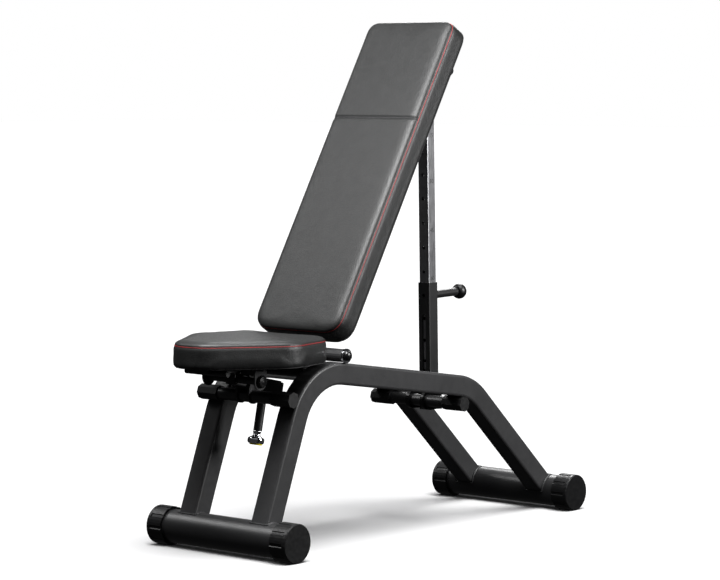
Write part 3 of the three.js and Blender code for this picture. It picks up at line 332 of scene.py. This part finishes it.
def turned_steel():
    steel = Recipe("bare_steel", (0.30, 0.30, 0.31), 0.32, 1.0)
    lines = steel.noise(1.0, 3, stretch=(2500, 2500, 40))
    steel.varied_color(steel.noise(40, 4), 0.82, 1.1)
    steel.varied_roughness(lines, 0.26, 0.4)
    return steel.bump(lines, 0.00002).material


def leatherette(name, color, roughness):
    """Fine-grained coated cloth: round pebbles about a millimetre across, creases and faint mottling."""
    hide = Recipe(name, color, roughness, specular=0.25)
    hide.varied_color(hide.noise(35, 5), 0.86, 1.14)
    hide.varied_roughness(hide.noise(260, 3), roughness - 0.07, roughness + 0.07)
    hide.bump(hide.cells(620), 0.00035).bump(hide.noise(1900, 2), 0.00010)
    return hide.bump(hide.noise(55, 3), 0.00045).material


def plywood():
    board = Recipe("pad_board", (0.34, 0.23, 0.13), 0.7)
    grain = board.noise(1.0, 5, stretch=(9, 160, 160))
    board.varied_color(grain, 0.72, 1.25)
    return board.bump(grain, 0.0002).material


def backing_cloth():
    """Black non-woven dust cover on the backs of the pads."""
    cloth = Recipe("backing_cloth", (0.016, 0.016, 0.017), 0.85)
    cloth.varied_color(cloth.noise(700, 4), 0.6, 1.5)
    cloth.shader.inputs["Sheen Weight"].default_value = 0.15
    return cloth.bump(cloth.noise(900, 4), 0.0003).bump(cloth.noise(30, 3), 0.0008).material


def red_piping():
    cord = Recipe("red_piping", (0.15, 0.006, 0.007), 0.5, specular=0.25)
    cord.varied_color(cord.noise(160, 3), 0.75, 1.2)
    return cord.bump(cord.noise(1500, 2), 0.0001).material


def dark_thread():
    thread = Recipe("dark_thread", (0.008, 0.008, 0.009), 0.75)
    thread.varied_color(thread.noise(900, 3), 0.6, 1.5)
    return thread.bump(thread.noise(2400, 2), 0.0002).material


def mark_paint():
    paint = Recipe("mark_paint", (0.012, 0.012, 0.013), 0.5)
    paint.varied_color(paint.noise(500, 3), 0.85, 1.05)
    return paint.bump(paint.noise(1800, 2), 0.00003).material


def pale_floor():
    floor = Recipe("pale_floor", (0.93, 0.93, 0.93), 0.6, specular=0.2)
    floor.varied_color(floor.noise(1.5, 2), 0.995, 1.0)
    return floor.bump(floor.noise(60, 2), 0.0002, 0.2).material


materials = {
    "frame_coat": powder_coat(),
    "bar_coat": bar_coat(),
    "foot_plastic": moulded_plastic("foot_plastic", (0.003, 0.003, 0.0032), 0.36, 0.00008),
    "trim_plastic": moulded_plastic("trim_plastic", (0.003, 0.003, 0.0032), 0.24, 0.00003),
    "knob_plastic": moulded_plastic("knob_plastic", (0.003, 0.003, 0.0032), 0.36, 0.00002),
    "knob_insert": moulded_plastic("knob_insert", (0.72, 0.60, 0.02), 0.35, 0.00003),
    "sleeve_rubber": moulded_rubber(),
    "chrome_plate": chrome(),
    "bare_steel": turned_steel(),
    "upholstery": leatherette("upholstery", (0.009, 0.0092, 0.0092), 0.42),
    "pad_board": plywood(),
    "backing_cloth": backing_cloth(),
    "red_piping": red_piping(),
    "dark_thread": dark_thread(),
    "mark_paint": mark_paint(),
}


def paint(obj, name):
    obj.data.materials.clear()
    obj.data.materials.append(materials[name])


def finish_piece(obj, body, finish):
    """Paints a piece and lets it ride with a body."""
    paint(obj, finish)
    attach(obj, body)
    return obj


# ---- Materials and edges of the CAD nodes ----

EDGE_WIDTHS = {
    "rail": 0.0008,
    "foot_cap": 0.0012,
    "sleeve": 0.004,
    "clamp": 0.0015,
    "tube": 0.0008,
    "knob": 0.0008,
}
OTHER_EDGE_WIDTH = 0.0006
for subpart in frame["record"]["subparts"]:
    node = nodes[subpart["node"]]
    slot_material = materials[subpart["material_slot"]]
    if subpart["node"].endswith("_board"):
        slot_material = materials["backing_cloth"]
    if not node.material_slots:
        node.data.materials.append(slot_material)
    for material_slot in node.material_slots:
        material_slot.material = slot_material
    if not subpart["node"].endswith(("_pad", "_knob")) and "spring" not in subpart["node"]:
        width = next((w for key, w in EDGE_WIDTHS.items() if key in subpart["node"]), OTHER_EDGE_WIDTH)
        soften_edges(node, width)

# ---- Pads ----


def rounded_outline(corners, steps):
    """Points of a polygon with its corners rounded by quadratic curves of the given reach."""
    points = []
    count = len(corners)
    for i, (x, y, reach) in enumerate(corners):
        corner = Vector((x, y))
        before = Vector(corners[i - 1][:2]) - corner
        after = Vector(corners[(i + 1) % count][:2]) - corner
        start = corner + before.normalized() * reach
        end = corner + after.normalized() * reach
        for step in range(steps + 1):
            t = step / steps
            points.append(start * (1 - t) ** 2 + corner * 2 * t * (1 - t) + end * t**2)
    return points


def inset_points(points, inset):
    """The outline moved inwards along its normals; it runs anticlockwise."""
    moved = []
    for i, point in enumerate(points):
        along = (points[(i + 1) % len(points)] - points[i - 1]).normalized()
        moved.append(point + Vector((-along.y, along.x)) * inset)
    return moved


def pad_blank(name, outline, bottom, piping, top):
    """The pad before it swells: straight walls, a round shoulder over the piping and a nearly flat face."""
    levels = [(bottom, 0.003), (bottom + 0.004, 0.001), (piping - 0.001, 0.001)]
    rise = top - piping
    for step in range(1, 7):
        angle = math.pi / 2 * step / 6
        levels.append((piping + rise * math.sin(angle) * 0.86, 0.001 + 0.016 * (1 - math.cos(angle))))
    vertices = []
    for height, inset in levels:
        vertices += [Vector((p.x, p.y, height)) for p in inset_points(outline, inset)]
    count = len(outline)
    faces = [tuple(reversed(range(count)))]
    for ring in range(len(levels) - 1):
        for i in range(count):
            j = (i + 1) % count
            low = ring * count
            faces.append((low + i, low + j, low + count + j, low + count + i))
    faces.append(tuple((len(levels) - 1) * count + i for i in range(count)))
    return new_object(name, mesh_from(name, vertices, faces))


VOXEL = 0.0055
SWELL_LIMIT = 0.0012
SWELL_FRAMES = 20


def voxel_remesh(obj):
    remesh = obj.modifiers.new("remesh", "REMESH")
    remesh.mode = "VOXEL"
    remesh.voxel_size = VOXEL
    smooth = obj.modifiers.new("smooth", "SMOOTH")
    smooth.factor = 0.5
    smooth.iterations = 3
    apply_modifiers(obj)


def swell(obj, fixed_below):
    """Blows the cover up like a filled cushion; the back, stapled to its board, stays where it is."""
    held = obj.vertex_groups.new(name="held")
    start = [v.co.copy() for v in obj.data.vertices]
    held.add([i for i, co in enumerate(start) if co.z < fixed_below], 1.0, "REPLACE")
    cloth = obj.modifiers.new("cloth", "CLOTH")
    cloth.settings.quality = 5
    cloth.settings.tension_stiffness = 25
    cloth.settings.compression_stiffness = 25
    cloth.settings.bending_stiffness = 2
    cloth.settings.use_pressure = True
    cloth.settings.uniform_pressure_force = 4
    cloth.settings.effector_weights.gravity = 0
    cloth.settings.vertex_group_mass = "held"
    scene = bpy.context.scene
    for step in range(1, SWELL_FRAMES + 1):
        scene.frame_set(step)
    swollen = evaluated_mesh(obj)
    obj.modifiers.clear()
    for vertex, result in zip(obj.data.vertices, swollen.vertices):
        move = result.co - start[vertex.index]
        if move.length > SWELL_LIMIT:
            move = move.normalized() * SWELL_LIMIT
        vertex.co = start[vertex.index] + move
    bpy.data.meshes.remove(swollen)
    scene.frame_set(1)
    smooth = obj.modifiers.new("smooth", "SMOOTH")
    smooth.factor = 0.5
    smooth.iterations = 6
    apply_modifiers(obj)


def refine(obj):
    subdivision = obj.modifiers.new("subdivision", "SUBSURF")
    subdivision.levels = 1
    subdivision.render_levels = 1
    apply_modifiers(obj)


def make_pad(name, outline, bottom, piping, top):
    pad = pad_blank(name, outline, bottom, piping, top)
    voxel_remesh(pad)
    swell(pad, bottom + BOARD_THICKNESS)
    refine(pad)
    return pad


def press_ring_groove(obj, height, depth, width):
    """Draws the cover in along the line where the piping is sewn, all round the wall."""
    normals = [v.normal.copy() for v in obj.data.vertices]
    for vertex, normal in zip(obj.data.vertices, normals):
        share = math.exp(-(((vertex.co.z - height) / width) ** 2))
        outward = Vector((normal.x, normal.y, 0))
        if outward.length > 0.5:
            vertex.co -= outward.normalized() * depth * share


def press_cross_seam(obj, place, depth, width, above):
    """Sinks a seam across the face at one place along X, with small gathers on both sides of it."""
    for vertex in obj.data.vertices:
        if vertex.co.z < above:
            continue
        away = vertex.co.x - place
        groove = math.exp(-((away / width) ** 2))
        gathers = math.exp(-abs(away) / 0.012) * math.sin(vertex.co.y * 420) * 0.00012
        rise = min(1.0, (vertex.co.z - above) / 0.006)
        vertex.co.z -= (depth * groove + gathers) * rise


def piping_path(obj, outline, height, spacing=0.006, sink=0.0):
    """Points on the pad's wall at one height, found by looking inwards from outside the outline."""
    tree = BVHTree.FromPolygons(
        [v.co.copy() for v in obj.data.vertices], [tuple(p.vertices) for p in obj.data.polygons]
    )
    path = []
    outside = inset_points(outline, -0.03)
    for i, point in enumerate(outline):
        following = (i + 1) % len(outline)
        steps = max(1, round((outline[following] - point).length / spacing))
        for step in range(steps):
            t = step / steps
            start = outside[i].lerp(outside[following], t)
            inward = (point.lerp(outline[following], t) - start).normalized()
            hit = tree.ray_cast(Vector((start.x, start.y, height)), Vector((inward.x, inward.y, 0)))[0]
            if hit:
                path.append(hit + Vector((inward.x, inward.y, 0)) * sink)
    return path


def staples(name, outline, height, inset, spacing):
    """A row of staple crowns that hold the cover to the back of the board."""
    vertices = []
    faces = []
    row = inset_points(outline, inset)
    box_faces = [(0, 3, 2, 1), (4, 5, 6, 7), (0, 1, 5, 4), (1, 2, 6, 5), (2, 3, 7, 6), (3, 0, 4, 7)]
    for i, point in enumerate(row):
        following = row[(i + 1) % len(row)]
        length = (following - point).length
        if length < spacing * 0.8:
            continue
        count = round(length / spacing)
        along = (following - point).normalized()
        across = Vector((-along.y, along.x))
        for k in range(count):
            middle = point + (following - point) * (k + 0.5) / count
            start = len(vertices)
            for z in (height, height - 0.0007):
                for a, b in ((-1, -1), (1, -1), (1, 1), (-1, 1)):
                    corner = middle + along * 0.0055 * a + across * 0.0006 * b
                    vertices.append(Vector((corner.x, corner.y, z)))
            faces += [tuple(start + f for f in face[::-1]) for face in box_faces]
    return new_object(name, mesh_from(name, vertices, faces))


hinge = Vector(joints["backrest_recline"]["pos_m"])
back_to_world = Matrix.Translation(hinge) @ Matrix.Rotation(-math.radians(BACK_ANGLE), 4, "Y")
OUTLINE_STEPS = 10

back_outline = rounded_outline(
    [
        (BACK_START, -BACK_HALF_WIDTH, BACK_FOOT_CORNER),
        (BACK_END, -BACK_HALF_WIDTH, BACK_HEAD_CORNER),
        (BACK_END, BACK_HALF_WIDTH, BACK_HEAD_CORNER),
        (BACK_START, BACK_HALF_WIDTH, BACK_FOOT_CORNER),
    ],
    OUTLINE_STEPS,
)


def backrest_cover():
    pad = make_pad("backrest_cushion", back_outline, BACK_REAR_FACE, BACK_PIPING, BACK_FRONT_FACE)
    press_ring_groove(pad, BACK_PIPING, 0.0014, 0.003)
    press_cross_seam(pad, BACK_SEAM, 0.0032, 0.0034, BACK_PIPING)
    pieces = [pad]
    cord = tube_along("backrest_piping", piping_path(pad, back_outline, BACK_PIPING), PIPING_RADIUS)
    pieces.append(cord)
    tree = BVHTree.FromPolygons(
        [v.co.copy() for v in pad.data.vertices], [tuple(p.vertices) for p in pad.data.polygons]
    )
    thread = []
    reach = BACK_HALF_WIDTH - 0.006
    steps = 90
    for step in range(steps + 1):
        y = reach * (2 * step / steps - 1)
        hit = tree.ray_cast(Vector((BACK_SEAM, y, 0.2)), Vector((0, 0, -1)))[0]
        if hit:
            thread.append(hit)
    pieces.append(tube_along("backrest_seam", thread, 0.0011, closed=False))
    pieces.append(staples("backrest_staples", back_outline, BACK_REAR_FACE, BOARD_INSET + 0.006, 0.028))
    for piece in pieces:
        piece.data.transform(back_to_world)
    return pieces


cushion, cord, thread, tacks = backrest_cover()
shade_smooth(cushion.data)
finish_piece(cushion, "backrest", "upholstery")
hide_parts("backrest_pad")
finish_piece(cord, "backrest", "red_piping")
finish_piece(thread, "backrest", "dark_thread")
finish_piece(tacks, "backrest", "bare_steel")

seat_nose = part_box("seat_pad")[0][0]
seat_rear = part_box("seat_pad")[1][0]
seat_widest = seat_nose + SEAT_WIDEST_BEHIND_NOSE
seat_outline = rounded_outline(
    [
        (seat_nose, -SEAT_NOSE_HALF_WIDTH, SEAT_NOSE_CORNER),
        (seat_widest, -SEAT_WIDEST_HALF_WIDTH, SEAT_WIDEST_CORNER),
        (seat_rear, -SEAT_REAR_HALF_WIDTH, SEAT_REAR_CORNER),
        (seat_rear, SEAT_REAR_HALF_WIDTH, SEAT_REAR_CORNER),
        (seat_widest, SEAT_WIDEST_HALF_WIDTH, SEAT_WIDEST_CORNER),
        (seat_nose, SEAT_NOSE_HALF_WIDTH, SEAT_NOSE_CORNER),
    ],
    OUTLINE_STEPS,
)
seat_cushion = make_pad("seat_cushion", seat_outline, SEAT_BOTTOM, SEAT_PIPING, SEAT_TOP)
press_ring_groove(seat_cushion, SEAT_PIPING, 0.0014, 0.003)
shade_smooth(seat_cushion.data)
finish_piece(seat_cushion, "seat", "upholstery")
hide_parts("seat_pad")
seat_cord = tube_along("seat_piping", piping_path(seat_cushion, seat_outline, SEAT_PIPING), PIPING_RADIUS)
finish_piece(seat_cord, "seat", "red_piping")
seat_tacks = staples("seat_staples", seat_outline, SEAT_BOTTOM, BOARD_INSET + 0.006, 0.028)
finish_piece(seat_tacks, "seat", "bare_steel")

# ---- Turned knobs ----


def turned_knob(node_name, joint_name, profile):
    """A round knob along a pin, standing where the frame's knob starts."""
    node = nodes[node_name]
    axis = Vector(joints[joint_name]["axis"]).normalized()
    centre = midpoint(node_name)
    start = min((node.matrix_world @ v.co - centre).dot(axis) for v in node.data.vertices)
    knob = turned(node_name + "_turned", profile, centre + axis * start, axis)
    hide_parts(node_name)
    return knob


# Millimetres: radius, then distance from the end of the pin's housing.
BELL_PROFILE = [
    (0, 0), (9.4, 0), (9.8, 0.5), (9.5, 1.4), (8.6, 3.4), (8.0, 6), (8.2, 8.6), (9.6, 11), (12.4, 12.8),
    (15.8, 14), (17.8, 15.4), (18.8, 17.4), (19.0, 20), (19.0, 22.6), (18.7, 24.6), (17.8, 26.4),
    (16.2, 27.6), (15.4, 28), (0, 28),
]
bell = [(radius / 1000, along / 1000) for radius, along in BELL_PROFILE]
seat_bell = turned_knob("seat_pin_knob", "seat_pin_pull", bell)
finish_piece(seat_bell, "seat_pull_pin", "chrome_plate")

ACROSS = Vector((0, 1, 0))


def round_bar(node_name, radius, segments):
    """A smooth round bar across the frame, in place of a faceted tube whose ends are hidden in its caps."""
    node = nodes[node_name]
    centre = midpoint(node_name)
    reaches = [(node.matrix_world @ v.co - centre).dot(ACROSS) for v in node.data.vertices]
    start = min(reaches)
    end = max(reaches)
    bevel = 0.0005
    profile = [(0, 0), (radius - bevel, 0), (radius, bevel), (radius, end - start - bevel)]
    profile += [(radius - bevel, end - start), (0, end - start)]
    bar = turned(node_name + "_turned", profile, centre + ACROSS * start, ACROSS, segments)
    soft = bar.modifiers.new("edges", "EDGE_SPLIT")
    soft.split_angle = math.radians(40)
    finish_piece(bar, "frame", "bar_coat")
    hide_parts(node_name)


for foot_tube in ("front_foot_tube", "rear_foot_tube"):
    round_bar(foot_tube, FOOT_RADIUS, FOOT_SEGMENTS)
for cross_bar in ("front_cross_bar", "rear_cross_bar"):
    round_bar(cross_bar, CROSS_BAR_RADIUS, CROSS_BAR_SEGMENTS)

ball = [(0, 0), (KNOB_NECK_RADIUS, 0)]
for step in range(1, 28):
    angle = math.radians(-50 + step * 5)
    ball.append((KNOB_RADIUS * math.cos(angle), KNOB_RADIUS * KNOB_SQUASH * (0.8 + math.sin(angle))))
ball.append((0, KNOB_RADIUS * KNOB_SQUASH * 1.8))
strut_ball = turned_knob("strut_pin_knob", "strut_pin_pull", ball)
finish_piece(strut_ball, "strut_pull_pin", "knob_plastic")

# ---- Angle marks on the strut's inner tube ----

STRUT_PIVOT = Vector(joints["strut_swing"]["pos_m"])
STRUT_WAY = Vector(joints["strut_extend"]["axis"]).normalized()
STRUT_ACROSS = Vector((STRUT_WAY.z, 0, -STRUT_WAY.x))
MARK_SIZE = 0.01485
MARK_RAISE = 0.00008
# Angle, and how far along the strut its mark stands.
MARKS = ((60, 0.289), (45, 0.404), (30, 0.521), (15, 0.630))


def angle_mark(number, along):
    """A painted number on the left side of the tube."""
    text = bpy.data.curves.new(f"mark_{number}", "FONT")
    text.body = str(number)
    text.size = MARK_SIZE
    text.align_x = "CENTER"
    text.align_y = "CENTER"
    text.extrude = MARK_RAISE
    words = bpy.data.objects.new(f"mark_{number}_text", text)
    bpy.context.scene.collection.objects.link(words)
    mesh = evaluated_mesh(words)
    bpy.data.objects.remove(words)
    place = STRUT_PIVOT + STRUT_ACROSS * STRUT_OFFSET + STRUT_WAY * along
    place.y = STRUT_MARK_SIDE
    turn = Matrix((STRUT_ACROSS, STRUT_WAY, Vector((0, -1, 0)))).transposed().to_4x4()
    mesh.transform(Matrix.Translation(place) @ turn)
    return new_object(f"mark_{number}", mesh)


for number, along in MARKS:
    finish_piece(angle_mark(number, along), "strut_upper", "mark_paint")

# ---- Weld beads where the legs meet the foot tubes ----


def leg_weld(name, foot_node, side, lean):
    """A bead round a square leg where it lands on the round foot tube."""
    foot = midpoint(foot_node)
    up = Vector((math.sin(math.radians(lean)), 0, math.cos(math.radians(lean))))
    across = Vector((up.z, 0, -up.x))
    reach = RAIL_HALF + 0.0012
    per_side = 16
    points = []
    corners = [(-1, -1), (1, -1), (1, 1), (-1, 1)]
    for i, (a0, b0) in enumerate(corners):
        a1, b1 = corners[(i + 1) % 4]
        for step in range(per_side):
            t = step / per_side
            a = (a0 + (a1 - a0) * t) * reach
            b = (b0 + (b1 - b0) * t) * reach
            height = math.sqrt(FOOT_RADIUS**2 - a**2)
            ripple = 0.0004 * math.sin(9.0 * (i * per_side + step))
            points.append(
                foot + across * a + up * (height + ripple) + Vector((0, side * RAIL_CENTRE_Y + b, 0))
            )
    return tube_along(name, points, 0.0024)


for side_name, side in (("left", -1), ("right", 1)):
    for place, lean in (("front", FRONT_LEG_LEAN), ("rear", -REAR_LEG_LEAN)):
        bead = leg_weld(f"{place}_leg_weld_{side_name}", f"{place}_foot_tube", side, lean)
        finish_piece(bead, "frame", "frame_coat")


# ---- Studio ----

CAMERA_PLACE = Vector((-4.78745, -4.0946, 1.0196))
CAMERA_HEADING = 49.37  # degrees from +Y towards +X
CAMERA_PITCH = 4.18  # degrees below the horizon
CAMERA_ROLL = 0.22
CAMERA_LENS = 135.76


def make_camera():
    heading = math.radians(CAMERA_HEADING)
    pitch = math.radians(CAMERA_PITCH)
    roll = math.radians(CAMERA_ROLL)
    ahead = Vector(
        (math.sin(heading) * math.cos(pitch), math.cos(heading) * math.cos(pitch), -math.sin(pitch))
    )
    level = Vector((math.cos(heading), -math.sin(heading), 0))
    up = level.cross(ahead)
    right = level * math.cos(roll) + up * math.sin(roll)
    top = up * math.cos(roll) - level * math.sin(roll)
    data = bpy.data.cameras.new("camera")
    data.sensor_width = 36
    data.lens = CAMERA_LENS
    data.clip_end = 100
    camera = bpy.data.objects.new("camera", data)
    bpy.context.scene.collection.objects.link(camera)
    facing = Matrix((right, top, -ahead)).transposed().to_4x4()
    camera.matrix_world = Matrix.Translation(CAMERA_PLACE) @ facing
    bpy.context.scene.camera = camera


def area_light(name, place, target, width, height, power):
    data = bpy.data.lights.new(name, "AREA")
    data.shape = "RECTANGLE"
    data.size = width
    data.size_y = height
    data.energy = power
    light = bpy.data.objects.new(name, data)
    light.location = place
    light.rotation_euler = (Vector(target) - Vector(place)).to_track_quat("-Z", "Y").to_euler()
    bpy.context.scene.collection.objects.link(light)


def soft_sun(towards, strength, spread):
    """Even light over the whole floor from a broad patch of sky."""
    data = bpy.data.lights.new("soft_sun", "SUN")
    data.energy = strength
    data.angle = math.radians(spread)
    light = bpy.data.objects.new("soft_sun", data)
    light.rotation_euler = (-towards).to_track_quat("-Z", "Y").to_euler()
    bpy.context.scene.collection.objects.link(light)


def make_floor():
    reach = 60
    corners = [(-reach, -reach, 0), (reach, -reach, 0), (reach, reach, 0), (-reach, reach, 0)]
    mesh = mesh_from("floor", corners, [(0, 1, 2, 3)])
    floor = new_object("floor", mesh)
    floor.data.materials.append(pale_floor())
    floor.visible_glossy = False
    floor.visible_diffuse = False


def make_world():
    """A white backdrop, while the bench itself is lit by a dim room with a brighter ceiling."""
    world = bpy.data.worlds.new("studio")
    world.use_nodes = True
    tree = world.node_tree
    place = tree.nodes.new("ShaderNodeTexCoord")
    split = tree.nodes.new("ShaderNodeSeparateXYZ")
    room = tree.nodes.new("ShaderNodeValToRGB")
    room.color_ramp.elements[0].position = 0.35
    room.color_ramp.elements[0].color = (0.035, 0.035, 0.036, 1)
    room.color_ramp.elements[1].position = 0.85
    room.color_ramp.elements[1].color = (0.55, 0.55, 0.56, 1)
    backdrop = tree.nodes.new("ShaderNodeBackground")
    backdrop.inputs["Color"].default_value = (1.0, 1.0, 1.0, 1)
    seen = tree.nodes.new("ShaderNodeLightPath")
    mix = tree.nodes.new("ShaderNodeMixShader")
    tree.links.new(place.outputs["Generated"], split.inputs["Vector"])
    tree.links.new(split.outputs["Z"], room.inputs["Fac"])
    tree.links.new(room.outputs["Color"], tree.nodes["Background"].inputs["Color"])
    tree.links.new(seen.outputs["Is Camera Ray"], mix.inputs["Fac"])
    tree.links.new(tree.nodes["Background"].outputs["Background"], mix.inputs[1])
    tree.links.new(backdrop.outputs["Background"], mix.inputs[2])
    tree.links.new(mix.outputs["Shader"], tree.nodes["World Output"].inputs["Surface"])
    bpy.context.scene.world = world


def spare_the_floor():
    """Keeps the area lights off the floor, so that only the even light falls on it and shadows show."""
    lit = bpy.data.collections.new("lit")
    for obj in bpy.context.scene.objects:
        if obj.type == "MESH" and obj.name != "floor":
            lit.objects.link(obj)
    for obj in bpy.context.scene.objects:
        if obj.type == "LIGHT" and obj.data.type == "AREA":
            obj.light_linking.receiver_collection = lit


make_camera()
make_floor()
make_world()
soft_sun(Vector((-0.1, -0.25, 1.0)), 3.6, 40)
area_light("front_key", (-0.85, -0.1, 1.85), (0.1, 0, 0.95), 0.6, 0.6, 66)
area_light("side_fill", (1.3, -3.0, 1.6), (0, 0, 0.45), 0.8, 1.8, 205)
area_light("tube_glint", (-1.3, 2.2, 2.5), (-0.4, 0, 0.1), 2.0, 0.5, 26)
area_light("ceiling", (-0.4, -0.1, 2.8), (-0.4, 0, 0.4), 0.9, 0.9, 20)
area_light("rear_fill", (2.6, 1.6, 2.4), (0, 0, 0.5), 1.2, 1.2, 60)
spare_the_floor()
bpy.context.scene.view_settings.view_transform = "Standard"
